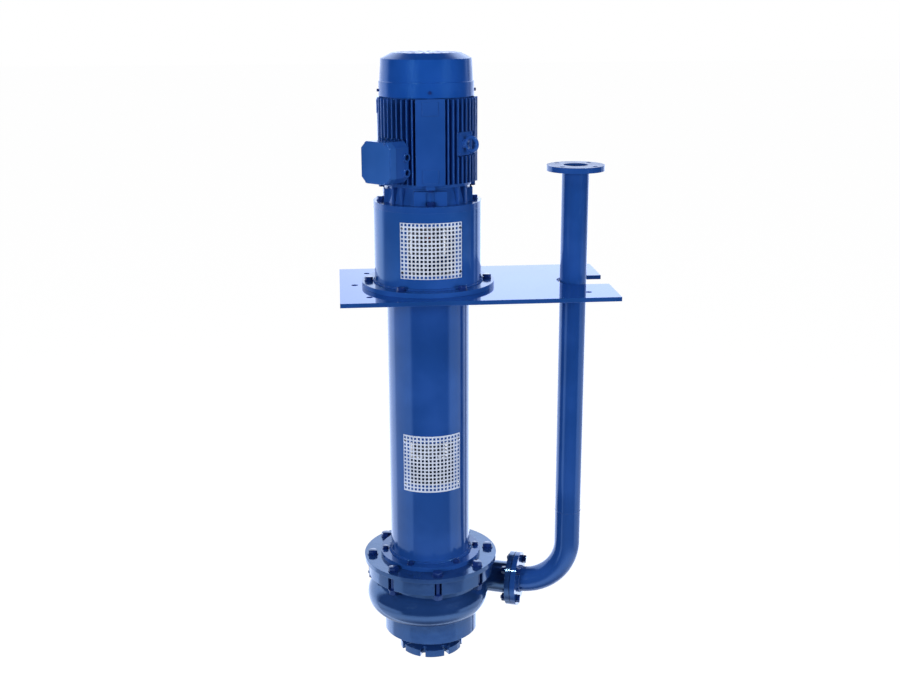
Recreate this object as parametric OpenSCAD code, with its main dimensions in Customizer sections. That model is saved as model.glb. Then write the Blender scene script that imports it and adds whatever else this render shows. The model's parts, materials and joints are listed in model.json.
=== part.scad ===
// Vertical sump pump hung from a slotted mounting plate
// Millimetres, +Z up along the pump shaft, the origin on the shaft axis in the plate's underside.
// The perforated guards face -Y, the discharge riser stands at +X.

/* [Mounting plate] */
// Plate edge left of the shaft
plate_left = 291; // [280:1:360]
// Plate edge right of the shaft
plate_right = 593; // [570:1:680]
// Plate width front to back
plate_width = 520; // [470:2:640]
// Plate thickness
plate_thickness = 14; // [10:1:25]
// Distance between the anchor holes along the plate
anchor_spacing_x = 700; // [640:2:760]
// Distance between the anchor holes across the plate
anchor_spacing_y = 360; // [320:2:420]
// Middle of the anchor pattern, right of the shaft
anchor_middle_x = 152; // [130:1:175]
// Anchor hole diameter
anchor_hole_dia = 20; // [14:1:26]
// Service hole diameter
service_hole_dia = 22; // [12:1:32]
// Width of the slot the riser stands in
slot_width = 132; // [110:2:160]
// Space between the riser and the slot's round end
slot_end_gap = 10.5; // [6:0.5:20]

/* [Motor stool] */
// Stool and motor flange diameter
stool_dia = 350; // [346:1:364]
// Stool wall
stool_wall = 10; // [8:0.5:13]
// Stool height, plate to motor flange face
stool_height = 260; // [250:1:300]
// Base flange diameter
base_flange_dia = 436; // [430:2:470]
// Base flange thickness
base_flange_thickness = 15; // [12:1:22]
// Base flange bolt circle
base_bolt_circle = 390; // [386:1:398]
// Top ring thickness
top_ring_thickness = 18; // [14:1:24]
// Access window width along the wall
window_width = 154; // [120:1:160]
// Stool window height
stool_window_height = 154; // [120:1:160]
// Height of the stool window's middle above the plate
stool_window_rise = 140.4; // [132:0.2:144]

/* [Guards] */
// Guard sheet thickness
guard_sheet = 1.5; // [1:0.1:2]
// Hole spacing of the perforated sheet
hole_pitch = 12.8; // [12:0.1:13.2]
// Side of a square hole
hole_side = 8; // [6:0.1:9]
// Holes across a guard
guard_columns = 16; // [14:1:16]
// Hole rows of the stool guard
stool_guard_rows = 14; // [13:1:15]
// Hole rows of the column guard
column_guard_rows = 15; // [13:1:16]
// Guard screw diameter
guard_screw_dia = 6; // [5:1:8]

/* [Column] */
// Column pipe outside diameter
column_dia = 273; // [267:1:280]
// Column pipe wall
column_wall = 8; // [6:0.5:10]
// Column length, plate underside to casing cover
column_length = 946; // [940:2:1100]
// Column flange diameter
column_flange_dia = 346; // [342:2:356]
// Column flange thickness
column_flange_thickness = 15; // [12:1:20]
// Column flange bolt circle
column_bolt_circle = 314; // [312:1:318]
// Access window height
column_window_height = 150; // [120:1:160]
// Depth of the access window's middle below the plate
column_window_depth = 573; // [560:1:580]

/* [Casing] */
// Casing cover diameter
cover_dia = 460; // [452:2:480]
// Casing cover thickness
cover_thickness = 16; // [12:1:22]
// Cover bolt circle
cover_bolt_circle = 405; // [402:1:408]
// Casing ring diameter
casing_ring_dia = 435; // [432:1:444]
// Casing ring height
casing_ring_height = 48; // [40:1:54]
// Width of the bolt slots in the casing ring
casing_slot_width = 24; // [22:1:27]
// Drop from the cover's top face to the volute's middle
volute_drop = 152; // [150:1:170]
// Radius of the volute's middle line
volute_radius = 147; // [145:1:152]
// Volute tube radius, outside
volute_tube_radius = 65; // [63:1:67]
// Volute wall
volute_wall = 9; // [7:0.5:11]
// Inlet chamber diameter
drum_dia = 326; // [320:1:340]
// Suction flange diameter
suction_flange_dia = 220; // [214:1:230]
// Suction flange thickness
suction_flange_thickness = 25; // [20:1:28]
// Suction bolt circle
suction_bolt_circle = 180; // [176:1:184]
// Width of the suction flange slots
suction_slot_width = 18.5; // [16:0.5:20]
// Suction bore
suction_bore = 100; // [90:1:104]

/* [Discharge] */
// Distance between shaft and riser
riser_x = 485; // [480:1:492]
// Turn of the casing nozzle towards the front, degrees
nozzle_turn = 20; // [18:0.5:22]
// Riser pipe outside diameter
riser_dia = 88.9; // [84:0.1:92]
// Riser pipe wall
riser_wall = 4.5; // [3:0.1:6]
// Bend radius of the elbow
elbow_radius = 168; // [150:1:172]
// Straight leg above the bend
elbow_leg = 120; // [80:1:160]
// Height of the riser above the plate underside
riser_top = 398; // [360:1:480]
// Pipe flange diameter
pipe_flange_dia = 190; // [186:1:200]
// Pipe flange thickness
pipe_flange_thickness = 18; // [14:1:20]
// Pipe flange bolt circle
pipe_bolt_circle = 150; // [146:1:154]
// Pipe flange hole diameter
pipe_flange_hole = 18; // [17:0.5:19]

/* [Motor] */
// Motor flange thickness
motor_flange_thickness = 20; // [16:1:24]
// Motor flange bolt circle
motor_bolt_circle = 300; // [296:1:304]
// Length of the finned frame
frame_length = 265; // [260:1:300]
// Diameter over the fins
fin_dia = 330; // [322:1:344]
// Barrel diameter under the fins
barrel_dia = 276; // [274:1:284]
// Fin thickness
fin_thickness = 4; // [3:0.1:5]
// Angle between two fins
fin_pitch = 6.25; // [6:0.05:6.5]
// Diameter of the fan cowl's lower band
cowl_dia = 303; // [300:1:310]
// Cowl height
cowl_height = 133; // [130:1:150]
// Cowl sheet thickness
cowl_sheet = 2; // [1.5:0.1:3]
// Terminal box width
box_width = 122; // [114:1:130]
// Terminal box height
box_height = 130; // [124:1:140]
// Distance from the shaft to the lid's face
lid_reach = 242; // [236:1:252]
// Cable entry bore
entry_dia = 18.5; // [16:0.5:22]
// Motor shaft end diameter
motor_shaft_dia = 42; // [38:1:44]

/* [Pump shaft] */
// Pump shaft diameter
shaft_dia = 45; // [44:0.1:45]
// Jaw coupling diameter
coupling_dia = 105; // [95:1:112]
// Muff coupling diameter
muff_dia = 108; // [100:1:116]
// Muff coupling length
muff_length = 100; // [90:1:110]
// Impeller diameter
impeller_dia = 260; // [230:1:264]

/* [Hidden] */
$fn = 96;
plate_top = plate_thickness;
stool_top = plate_top + stool_height;
stool_r = stool_dia / 2;
base_bolt_r = base_bolt_circle / 2;
service_hole_x = -base_flange_dia / 2 - 24;
slot_end_x = riser_x - riser_dia / 2 - slot_end_gap + slot_width / 2;
stool_spigot_r = 125;
stool_guard_z = plate_top + stool_window_rise;
guard_width = guard_columns * hole_pitch;
stool_guard_height = stool_guard_rows * hole_pitch;
column_guard_height = column_guard_rows * hole_pitch + 6;
column_r = column_dia / 2;
column_bore_r = column_r - column_wall;
column_guard_z = -column_window_depth;
column_bolt_r = column_bolt_circle / 2;
cover_top = -column_length;
cover_bottom = cover_top - cover_thickness;
gasket = 2;
ring_top = cover_bottom - gasket;
ring_bottom = ring_top - casing_ring_height;
cover_bolt_r = cover_bolt_circle / 2;
volute_z = cover_top - volute_drop;
volute_dx = -13;
volute_dy = 8;
drum_bottom = volute_z - 126;
floor_top = volute_z - 28;
floor_bottom = floor_top - 26;
neck_r = 62;
wear_ring_r = 80;
eye_ring_r = 68;
pocket_top = volute_z - volute_tube_radius - 9;
suction_bottom = drum_bottom - 79;
suction_top = suction_bottom + suction_flange_thickness;
nozzle_offset = riser_x * sin(nozzle_turn);
riser_local_x = riser_x * cos(nozzle_turn);
elbow_face = elbow_radius + pipe_flange_thickness + 1;
nozzle_face = riser_local_x - elbow_face - gasket;
nozzle_r = 58;
elbow_top = volute_z + elbow_radius + elbow_leg;
flange_face = stool_top;
shield_bottom = flange_face + motor_flange_thickness;
frame_bottom = shield_bottom + 64;
frame_top = frame_bottom + frame_length;
core_bottom = frame_bottom + 42;
core_top = frame_top - 63;
barrel_r = barrel_dia / 2;
frame_bore_r = 127.5;
fin_r = fin_dia / 2;
cowl_bottom = frame_top + 2;
cowl_top = cowl_bottom + cowl_height;
cowl_r = cowl_dia / 2;
box_z = frame_bottom + 75;
pad_reach = fin_r - 7;
eye_pad = fin_r - 8;
box_back = fin_r - 9;
box_split = lid_reach - 28;
lid_screw_y = box_width / 2 - 21;
lid_screw_z = box_height / 2 - 5.5;
entry_x = box_back + 13.5;
eyebolt_z = frame_bottom + 125;
coupling_bottom = stool_top - 156;
hub_length = 42;
jaw_bottom = coupling_bottom + hub_length;
jaw_top = jaw_bottom + 20;
coupling_top = jaw_top + 56;
coupling_r = coupling_dia / 2;
shaft_r = shaft_dia / 2;
drive_shaft_top = jaw_bottom - 2;
muff_top = column_guard_z + 95;
muff_bottom = muff_top - muff_length;
muff_middle = (muff_top + muff_bottom) / 2;
de_bearing_z = shield_bottom + 4;
nde_bearing_z = frame_top + 7;
upper_bearing_z = -12;
lower_bearing_z = -110;
tail_bearing_z = cover_top + 200;
cup_r = 137;
cup_bottom = volute_z + 26;
stuffing_top = cover_top + 96;
impeller_top = cup_bottom - 4;
impeller_r = impeller_dia / 2;

// Shared shapes
module tube(outer, inner, low, high) {
    translate([0, 0, low])
        difference() {
            cylinder(r = outer, h = high - low);
            translate([0, 0, -1]) cylinder(r = inner, h = high - low + 2);
        }
}

module disc(radius, low, high) {
    translate([0, 0, low]) cylinder(r = radius, h = high - low);
}

module around(count, radius, start = 0) {
    for (i = [0:count - 1])
        rotate([0, 0, start + i * 360 / count]) translate([radius, 0, 0]) children();
}

module hex(across, low, high) {
    translate([0, 0, low]) cylinder(r = across / sqrt(3), h = high - low, $fn = 6);
}

// Arc of a pipe wall facing -Y, or +Y when turned
module arc_wall(inner, thick, half_angle, low, high, turn = 0) {
    rotate([0, 0, turn - 90 - half_angle])
        rotate_extrude(angle = 2 * half_angle)
            translate([inner, low]) square([thick, high - low]);
}

module window_cut(radius, wall, width, low, high, turn) {
    arc_wall(radius - wall - 6, wall + 12, width / 2 / radius * 57.2958, low, high, turn);
}

// Perforated sheet bent to the pipe, the corner places taken by screws
module guard(radius, rows, height, middle, screw_row, turn) {
    step = hole_pitch / radius * 57.2958;
    first = -(guard_columns - 1) / 2;
    low = -(rows - 1) / 2;
    difference() {
        arc_wall(radius, guard_sheet, guard_width / 2 / radius * 57.2958, middle - height / 2,
            middle + height / 2, turn);
        for (i = [0:guard_columns - 1])
            rotate([0, 0, turn - 90 + (first + i) * step])
                translate([radius - 2, 0, middle])
                    rotate([90, 0, 90])
                        linear_extrude(guard_sheet + 4)
                            for (j = [0:rows - 1])
                                if (!((i == 0 || i == guard_columns - 1)
                                    && (j == screw_row || j == rows - 1 - screw_row)))
                                    translate([0, (low + j) * hole_pitch]) square(hole_side, center = true);
        guard_screw_places(radius, rows, middle, screw_row, turn)
            translate([-2, 0, 0]) rotate([0, 90, 0]) cylinder(d = guard_screw_dia + 0.6, h = guard_sheet + 4);
    }
}

module guard_screw_places(radius, rows, middle, screw_row, turn) {
    step = hole_pitch / radius * 57.2958;
    for (side = [-1, 1])
        for (level = [-1, 1])
            rotate([0, 0, turn - 90 + side * (guard_columns - 1) / 2 * step])
                translate([radius, 0, middle + level * ((rows - 1) / 2 - screw_row) * hole_pitch])
                    children();
}

module guard_screw() {
    translate([guard_sheet, 0, 0]) rotate([0, 90, 0]) cylinder(d = guard_screw_dia * 1.7, h = 3);
    translate([-6, 0, 0]) rotate([0, 90, 0]) cylinder(d = guard_screw_dia, h = 6 + guard_sheet);
}

// Hexagon bolt standing on z = 0 with its shank below
module bolt(dia, across, shank) {
    hex(across, 3, 3 + dia * 0.64);
    disc(dia * 0.94, 0, 3);
    disc(dia / 2 - 0.1, -shank, 3);
}

// Washer and nut hanging under z = 0
module nut(dia, across) {
    disc(dia * 0.94, -3, 0);
    difference() {
        hex(across, -3 - dia * 0.8, -3);
        disc(dia / 2 - 0.1, -4 - dia, -2);
    }
}

module bearing_outer(outer, low, width) {
    difference() {
        tube(outer, outer * 0.83, low, low + width);
        translate([0, 0, low + width / 2])
            rotate_extrude() translate([outer * 0.735, 0]) circle(r = outer * 0.152);
    }
}

module bearing_inner(inner, outer, low, width) {
    mid = outer * 0.735;
    ball = outer * 0.145;
    difference() {
        tube(outer * 0.635, inner, low, low + width);
        translate([0, 0, low + width / 2]) rotate_extrude() translate([mid, 0]) circle(r = ball);
    }
    around(9, mid) translate([0, 0, low + width / 2]) sphere(r = ball - 0.02);
}

// Plate and stool
module mounting_plate() {
    color("RoyalBlue")
        difference() {
            translate([-plate_left, -plate_width / 2, 0])
                cube([plate_left + plate_right, plate_width, plate_thickness]);
            translate([slot_end_x, 0, -1]) cylinder(d = slot_width, h = plate_thickness + 2);
            translate([slot_end_x, -slot_width / 2, -1])
                cube([plate_right - slot_end_x + 1, slot_width, plate_thickness + 2]);
            for (x = [-0.5, 0.5])
                for (y = [-0.5, 0.5])
                    translate([anchor_middle_x + x * anchor_spacing_x, y * anchor_spacing_y, -1])
                        cylinder(d = anchor_hole_dia, h = plate_thickness + 2);
            translate([service_hole_x, 0, -1]) cylinder(d = service_hole_dia, h = plate_thickness + 2);
            disc(76, -1, plate_thickness + 1);
            around(6, base_bolt_r) disc(9, -1, plate_thickness + 1);
            around(6, 92, 30) disc(5, -1, plate_thickness + 1);
        }
}

module motor_stool() {
    color("MediumBlue")
        difference() {
            union() {
                tube(base_flange_dia / 2, 130, plate_top, plate_top + base_flange_thickness);
                tube(stool_r, stool_r - stool_wall, plate_top, stool_top);
                tube(stool_r, stool_spigot_r, stool_top - top_ring_thickness, stool_top);
            }
            around(6, base_bolt_r) disc(9, plate_top - 1, plate_top + base_flange_thickness + 1);
            around(4, motor_bolt_circle / 2) disc(8, stool_top - top_ring_thickness - 1, stool_top + 1);
            for (turn = [0, 180]) {
                window_cut(stool_r, stool_wall, window_width, stool_guard_z - stool_window_height / 2,
                    stool_guard_z + stool_window_height / 2, turn);
                guard_screw_places(stool_r, stool_guard_rows, stool_guard_z, 1, turn)
                    translate([-stool_wall - 2, 0, 0])
                        rotate([0, 90, 0]) cylinder(d = guard_screw_dia + 0.1, h = stool_wall + 4);
            }
        }
}

module stool_guards() {
    color("Silver")
        for (turn = [0, 180])
            guard(stool_r, stool_guard_rows, stool_guard_height, stool_guard_z, 1, turn);
}

module stool_guard_screws() {
    color("Gainsboro")
        for (turn = [0, 180])
            guard_screw_places(stool_r, stool_guard_rows, stool_guard_z, 1, turn) guard_screw();
}

module stool_bolts() {
    color("DarkSlateBlue")
        around(6, base_bolt_r) {
            translate([0, 0, plate_top + base_flange_thickness])
                bolt(16, 24, base_flange_thickness + plate_thickness + 20);
            nut(16, 24);
        }
}

// Column
module column() {
    color("MediumBlue")
        difference() {
            union() {
                tube(column_r, column_bore_r, cover_top, 0);
                tube(column_flange_dia / 2, column_bore_r, cover_top, cover_top + column_flange_thickness);
                translate([0, 0, cover_top + column_flange_thickness])
                    rotate_extrude()
                        polygon([[column_r - 1, 0], [column_r + 6, 0], [column_r, 8], [column_r - 1, 8]]);
                rotate_extrude()
                    polygon([[column_r - 1, 0], [column_r + 8, 0], [column_r, -8], [column_r - 1, -8]]);
            }
            around(6, column_bolt_r) disc(6.75, cover_top - 1, cover_top + column_flange_thickness + 1);
            for (turn = [0, 180]) {
                window_cut(column_r, column_wall, window_width,
                    column_guard_z - column_window_height / 2, column_guard_z + column_window_height / 2, turn);
                guard_screw_places(column_r, column_guard_rows, column_guard_z, 1, turn)
                    translate([-column_wall - 2, 0, 0])
                        rotate([0, 90, 0]) cylinder(d = guard_screw_dia + 0.1, h = column_wall + 4);
            }
        }
}

module column_guards() {
    color("Silver")
        for (turn = [0, 180])
            guard(column_r, column_guard_rows, column_guard_height, column_guard_z, 1, turn);
}

module column_guard_screws() {
    color("Gainsboro")
        for (turn = [0, 180])
            guard_screw_places(column_r, column_guard_rows, column_guard_z, 1, turn) guard_screw();
}

module column_flange_bolts() {
    color("DarkSlateBlue")
        around(6, column_bolt_r)
            translate([0, 0, cover_top + column_flange_thickness])
                bolt(12, 18, column_flange_thickness + cover_thickness - 3);
}

// Casing cover with its deep register and stuffing box
module casing_cover() {
    color("MediumBlue")
        rotate([0, 0, -nozzle_turn])
            difference() {
                union() {
                    tube(cover_dia / 2, cup_r - 16, cover_bottom, cover_top);
                    tube(cup_r, cup_r - 16, cup_bottom, cover_bottom);
                    disc(cup_r, cup_bottom, cup_bottom + 14);
                    disc(60, cup_bottom + 5, stuffing_top);
                    for (i = [0:3])
                        rotate([0, 0, 45 + i * 90])
                            translate([50, -6, cup_bottom + 5]) cube([cup_r - 60, 12, 70]);
                }
                disc(40, stuffing_top - 90, stuffing_top + 1);
                disc(28, cup_bottom - 1, stuffing_top);
                around(8, cover_bolt_r, 22.5) disc(11, cover_bottom - 1, cover_top + 1);
                rotate([0, 0, nozzle_turn])
                    around(6, column_bolt_r) disc(6, cover_top - cover_thickness + 3, cover_top + 1);
                around(2, 50, 90) disc(5, stuffing_top - 26, stuffing_top + 1);
            }
}

module cover_gasket() {
    color("DimGray") tube(cover_bolt_r - 14, cup_r + 1, ring_top, cover_bottom - 0.02);
}

module cover_bolts() {
    color("DarkSlateBlue")
        rotate([0, 0, -nozzle_turn])
            around(8, cover_bolt_r, 22.5) {
                translate([0, 0, cover_top]) bolt(20, 30, cover_top - ring_bottom + 24);
                translate([0, 0, ring_bottom]) nut(20, 30);
            }
}

// Volute casing with inlet chamber, slotted rings and tangential nozzle
module volute_casing() {
    color("MediumBlue")
        rotate([0, 0, -nozzle_turn])
            difference() {
                union() {
                    disc(casing_ring_dia / 2, ring_bottom, ring_top);
                    disc(174, volute_z, ring_bottom + 1);
                    translate([volute_dx, volute_dy, volute_z])
                        rotate_extrude() translate([volute_radius, 0]) circle(r = volute_tube_radius);
                    disc(drum_dia / 2, drum_bottom, volute_z);
                    disc(neck_r, suction_bottom, drum_bottom + 1);
                    disc(suction_flange_dia / 2, suction_bottom, suction_top);
                    translate([volute_dx, nozzle_offset, volute_z])
                        rotate([0, 90, 0]) cylinder(r1 = nozzle_r - 5, r2 = nozzle_r, h = nozzle_face - volute_dx);
                    translate([nozzle_face - pipe_flange_thickness, nozzle_offset, volute_z])
                        rotate([0, 90, 0]) cylinder(d = pipe_flange_dia, h = pipe_flange_thickness);
                }
                disc(cup_r, floor_top, ring_top + 1);
                translate([volute_dx, volute_dy, volute_z])
                    rotate_extrude()
                        translate([volute_radius, 0]) circle(r = volute_tube_radius - volute_wall);
                difference() {
                    tube(drum_dia / 2 - 14, neck_r + 6, drum_bottom - 1, pocket_top);
                    for (i = [0:5])
                        rotate([0, 0, i * 60]) translate([0, -5, drum_bottom + 4]) cube([drum_dia, 10, 80]);
                }
                disc(wear_ring_r, floor_bottom, floor_top + 1);
                disc(suction_bore / 2, suction_bottom - 1, floor_bottom + 1);
                translate([volute_dx, nozzle_offset, volute_z])
                    rotate([0, 90, 0]) cylinder(r = 40, h = nozzle_face - volute_dx + 1);
                around(8, cover_bolt_r, 22.5) disc(casing_slot_width / 2, ring_bottom - 1, ring_top + 1);
                around(8, cover_bolt_r, 22.5)
                    translate([0, -casing_slot_width / 2, ring_bottom - 1])
                        cube([40, casing_slot_width, casing_ring_height + 2]);
                around(8, suction_bolt_circle / 2)
                    disc(suction_slot_width / 2, suction_bottom - 1, suction_top + 1);
                around(8, suction_bolt_circle / 2)
                    translate([0, -suction_slot_width / 2, suction_bottom - 1])
                        cube([40, suction_slot_width, suction_flange_thickness + 2]);
                translate([nozzle_face, nozzle_offset, volute_z])
                    rotate([0, 90, 0]) around(4, pipe_bolt_circle / 2, 45)
                        disc(pipe_flange_hole / 2, -pipe_flange_thickness - 1, 1);
            }
}

module wear_ring() {
    color("Peru") tube(wear_ring_r, eye_ring_r + 0.5, floor_bottom, floor_top);
}

// Discharge line
module nozzle_place() {
    rotate([0, 0, -nozzle_turn]) translate([nozzle_face, nozzle_offset, volute_z]) children();
}

module discharge_gasket() {
    color("DimGray")
        nozzle_place() rotate([0, 90, 0]) tube(62, 42, 0, gasket);
}

module discharge_bolts() {
    color("DarkSlateBlue")
        nozzle_place()
            translate([gasket + pipe_flange_thickness, 0, 0])
                rotate([0, 90, 0]) around(4, pipe_bolt_circle / 2, 45) {
                    bolt(16, 24, 2 * pipe_flange_thickness + gasket + 20);
                    translate([0, 0, -2 * pipe_flange_thickness - gasket]) nut(16, 24);
                }
}

// Solid bend, leg and stub of the discharge line, the nozzle's axis along +X
module elbow_run(radius, extra) {
    translate([riser_local_x - elbow_radius, nozzle_offset, volute_z + elbow_radius])
        rotate([90, 0, 0])
            rotate([0, 0, -90])
                rotate_extrude(angle = 90) translate([elbow_radius, 0]) circle(r = radius);
    translate([riser_local_x, nozzle_offset, volute_z + elbow_radius])
        cylinder(r = radius, h = elbow_leg + extra);
    translate([nozzle_face + gasket - extra, nozzle_offset, volute_z])
        rotate([0, 90, 0]) cylinder(r = radius, h = elbow_face - elbow_radius + extra);
}

module discharge_elbow() {
    color("MediumBlue")
        rotate([0, 0, -nozzle_turn])
            difference() {
                union() {
                    elbow_run(riser_dia / 2, 0);
                    translate([nozzle_face + gasket, nozzle_offset, volute_z])
                        rotate([0, 90, 0]) {
                            cylinder(d = pipe_flange_dia, h = pipe_flange_thickness);
                            cylinder(r = riser_dia / 2 + 4, h = pipe_flange_thickness + 5);
                        }
                }
                elbow_run(riser_dia / 2 - riser_wall, 1);
                translate([nozzle_face + gasket, nozzle_offset, volute_z])
                    rotate([0, 90, 0]) around(4, pipe_bolt_circle / 2, 45)
                        disc(pipe_flange_hole / 2, -1, pipe_flange_thickness + 1);
            }
}

module riser_pipe() {
    color("MediumBlue")
        translate([riser_x, 0, 0])
            difference() {
                union() {
                    disc(riser_dia / 2, elbow_top, riser_top - 4);
                    disc(pipe_flange_dia / 2, riser_top - pipe_flange_thickness, riser_top);
                    translate([0, 0, riser_top - pipe_flange_thickness - 6])
                        cylinder(r1 = riser_dia / 2, r2 = riser_dia / 2 + 6, h = 6);
                }
                disc(riser_dia / 2 - riser_wall, elbow_top - 1, riser_top + 1);
                around(4, pipe_bolt_circle / 2, 45)
                    disc(pipe_flange_hole / 2, riser_top - pipe_flange_thickness - 1, riser_top + 1);
            }
}

// Motor housing
module drive_end_shield() {
    color("MediumBlue")
        difference() {
            union() {
                disc(stool_r, flange_face, shield_bottom);
                disc(stool_spigot_r, flange_face - 5, flange_face);
                translate([0, 0, shield_bottom]) cylinder(r1 = 141, r2 = 128, h = 54);
                disc(barrel_r + 6, shield_bottom + 54, frame_bottom);
                disc(frame_bore_r, frame_bottom, frame_bottom + 8);
                for (i = [0:3]) {
                    rotate([0, 0, i * 90]) {
                        translate([100, -52, shield_bottom]) cube([42, 104, 44]);
                        translate([120, -14, frame_bottom - 14]) cube([34, 28, 14]);
                    }
                    rotate([0, 0, 45 + i * 90 - 7]) translate([110, -4, shield_bottom]) cube([38, 8, 54]);
                    rotate([0, 0, 45 + i * 90 + 7]) translate([110, -4, shield_bottom]) cube([38, 8, 54]);
                }
            }
            disc(50, shield_bottom + 4, shield_bottom + 29);
            disc(24, flange_face - 6, frame_bottom + 9);
            tube(116, 62, shield_bottom + 10, frame_bottom + 9);
            disc(116, shield_bottom + 29, frame_bottom + 9);
            around(4, motor_bolt_circle / 2) disc(9, flange_face - 1, shield_bottom + 1);
            around(4, motor_bolt_circle / 2) disc(17, shield_bottom, shield_bottom + 40);
            around(4, 147) disc(5.5, frame_bottom - 15, frame_bottom + 1);
        }
}

module motor_flange_bolts() {
    color("DarkSlateBlue")
        around(4, motor_bolt_circle / 2)
            translate([0, 0, shield_bottom]) bolt(16, 24, motor_flange_thickness + top_ring_thickness - 2);
}

module fins() {
    for (i = [0:3])
        for (k = [-4:4])
            rotate([0, 0, 45 + i * 90 + k * fin_pitch])
                translate([barrel_r - 8, -fin_thickness / 2, frame_bottom + 1.5])
                    cube([fin_r - barrel_r + 8, fin_thickness, frame_length - 3]);
}

module motor_frame() {
    color("MediumBlue")
        difference() {
            union() {
                disc(barrel_r, frame_bottom, frame_top);
                difference() {
                    fins();
                    rotate([0, 0, -45]) translate([eye_pad - 3, -39, eyebolt_z - 38]) cube([30, 78, 76]);
                    rotate([0, 0, -135])
                        translate([box_back - 2, -box_width / 2 - 3, box_z - box_height / 2 - 3])
                            cube([30, box_width + 6, box_height + 6]);
                }
                for (i = [0:3])
                    rotate([0, 0, i * 90]) {
                        translate([barrel_r - 20, -46, frame_bottom]) cube([pad_reach - barrel_r + 20, 92, frame_length]);
                        for (z = [frame_bottom + 8, frame_top - 50])
                            translate([pad_reach - 1, -25, z]) cube([3, 50, 42]);
                    }
                rotate([0, 0, -45]) {
                    translate([barrel_r - 20, -36, eyebolt_z - 36]) cube([eye_pad - barrel_r + 20, 72, 72]);
                    for (y = [-29, 29])
                        for (z = [-30, 30])
                            translate([eye_pad - 1, y, eyebolt_z + z]) rotate([0, 90, 0]) cylinder(r = 4, h = 5);
                }
                rotate([0, 0, -135])
                    translate([barrel_r - 24, -50, box_z - 54]) cube([box_back - barrel_r + 24, 100, 108]);
            }
            disc(frame_bore_r, frame_bottom - 1, frame_top + 1);
            around(4, 147) disc(5, frame_bottom - 1, frame_bottom + 30);
            around(4, 131, 45) disc(3, frame_top - 24, frame_top + 1);
            rotate([0, 0, -45])
                translate([eye_pad - 18, 0, eyebolt_z]) rotate([0, 90, 0]) cylinder(r = 6, h = 30);
            rotate([0, 0, -135])
                translate([110, 0, box_z]) rotate([0, 90, 0]) cylinder(r = 22, h = 70);
        }
}

module stator_core() {
    color("DimGray")
        difference() {
            tube(frame_bore_r, 75, core_bottom, core_top);
            around(36, 75 + 14)
                translate([-10, -2.6, core_bottom - 1]) cube([24, 5.2, core_top - core_bottom + 2]);
        }
}

module stator_windings() {
    color("Chocolate") {
        for (low = [core_bottom - 27, core_top])
            tube(112, 82, low, low + 27);
    }
}

module fan_end_shield() {
    color("MediumBlue")
        difference() {
            union() {
                disc(barrel_r, frame_top, frame_top + 9);
                disc(frame_bore_r, frame_top - 8, frame_top);
                disc(54, frame_top - 8, frame_top + 30);
                for (i = [0:3])
                    rotate([0, 0, i * 90])
                        translate([100, -12, frame_top]) cube([cowl_r - cowl_sheet - 1.2 - 100, 24, 28]);
            }
            disc(40, frame_top + 7, frame_top + 25);
            disc(21, frame_top - 9, frame_top + 31);
            tube(112, 60, frame_top - 9, frame_top);
            disc(60, frame_top - 9, frame_top + 2);
            around(4, 131, 45) disc(3.2, frame_top - 9, frame_top + 10);
            for (i = [0:3])
                rotate([0, 0, i * 90])
                    translate([120, 0, frame_top + 19]) rotate([0, 90, 0]) cylinder(r = 3.05, h = 50);
        }
}

module shield_screws() {
    color("DarkSlateBlue") {
        around(4, 147)
            translate([0, 0, frame_bottom - 14]) {
                hex(16, -6, 0);
                disc(4.9, 0, 38);
            }
        around(4, 131, 45)
            translate([0, 0, frame_top + 9]) {
                hex(10, 0, 4);
                disc(2.9, -30, 0);
            }
    }
}

module fan_cowl() {
    band = 45;
    shoulder = 18;
    color("MediumBlue")
        difference() {
            union() {
                translate([0, 0, cowl_bottom])
                    rotate_extrude()
                        polygon([[0, 0], [cowl_r, 0], [cowl_r, band], [cowl_r - 3, band + 2],
                            [cowl_r - 7, cowl_height - shoulder], [cowl_r - 43, cowl_height], [0, cowl_height]]);
            }
            translate([0, 0, cowl_bottom - 1])
                rotate_extrude()
                    polygon([[0, 0], [cowl_r - cowl_sheet, 0], [cowl_r - cowl_sheet, band - 1],
                        [cowl_r - cowl_sheet - 3, band + 1], [cowl_r - cowl_sheet - 7, cowl_height - shoulder],
                        [cowl_r - cowl_sheet - 43, cowl_height - 1], [0, cowl_height - 1]]);
            for (i = [0:17])
                rotate([0, 0, i * 20]) {
                    translate([38, -4, cowl_top - 4]) cube([26, 8, 6]);
                    translate([72, -5, cowl_top - 4]) cube([28, 10, 6]);
                }
            for (i = [0:3])
                rotate([0, 0, i * 90])
                    translate([120, 0, frame_top + 19]) rotate([0, 90, 0]) cylinder(r = 3.3, h = 50);
        }
}

module cowl_screws() {
    color("DarkSlateBlue")
        for (i = [0:3])
            rotate([0, 0, i * 90])
                translate([cowl_r, 0, frame_top + 19]) {
                    rotate([0, 90, 0]) cylinder(r = 5, h = 6);
                    translate([-20, 0, 0]) rotate([0, 90, 0]) cylinder(r = 3, h = 20);
                }
}

module motor_bearing_outer_rings() {
    color("LightSteelBlue") {
        bearing_outer(50, de_bearing_z, 25);
        bearing_outer(40, nde_bearing_z, 18);
    }
}

// Terminal box, built along +X and turned to the front left
module box_place() {
    rotate([0, 0, -135]) translate([0, 0, box_z]) children();
}

module lid_screw_places() {
    for (y = [-1, 1])
        for (z = [-1, 1])
            translate([0, y * lid_screw_y, z * lid_screw_z]) rotate([0, 90, 0]) children();
}

module octagon_block(low, high, width, height, cut) {
    translate([low, 0, 0])
        rotate([90, 0, 90])
            linear_extrude(high - low)
                polygon([[-width / 2, -height / 2 + cut], [-width / 2 + cut, -height / 2],
                    [width / 2 - cut, -height / 2], [width / 2, -height / 2 + cut],
                    [width / 2, height / 2 - cut], [width / 2 - cut, height / 2],
                    [-width / 2 + cut, height / 2], [-width / 2, height / 2 - cut]]);
}

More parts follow.
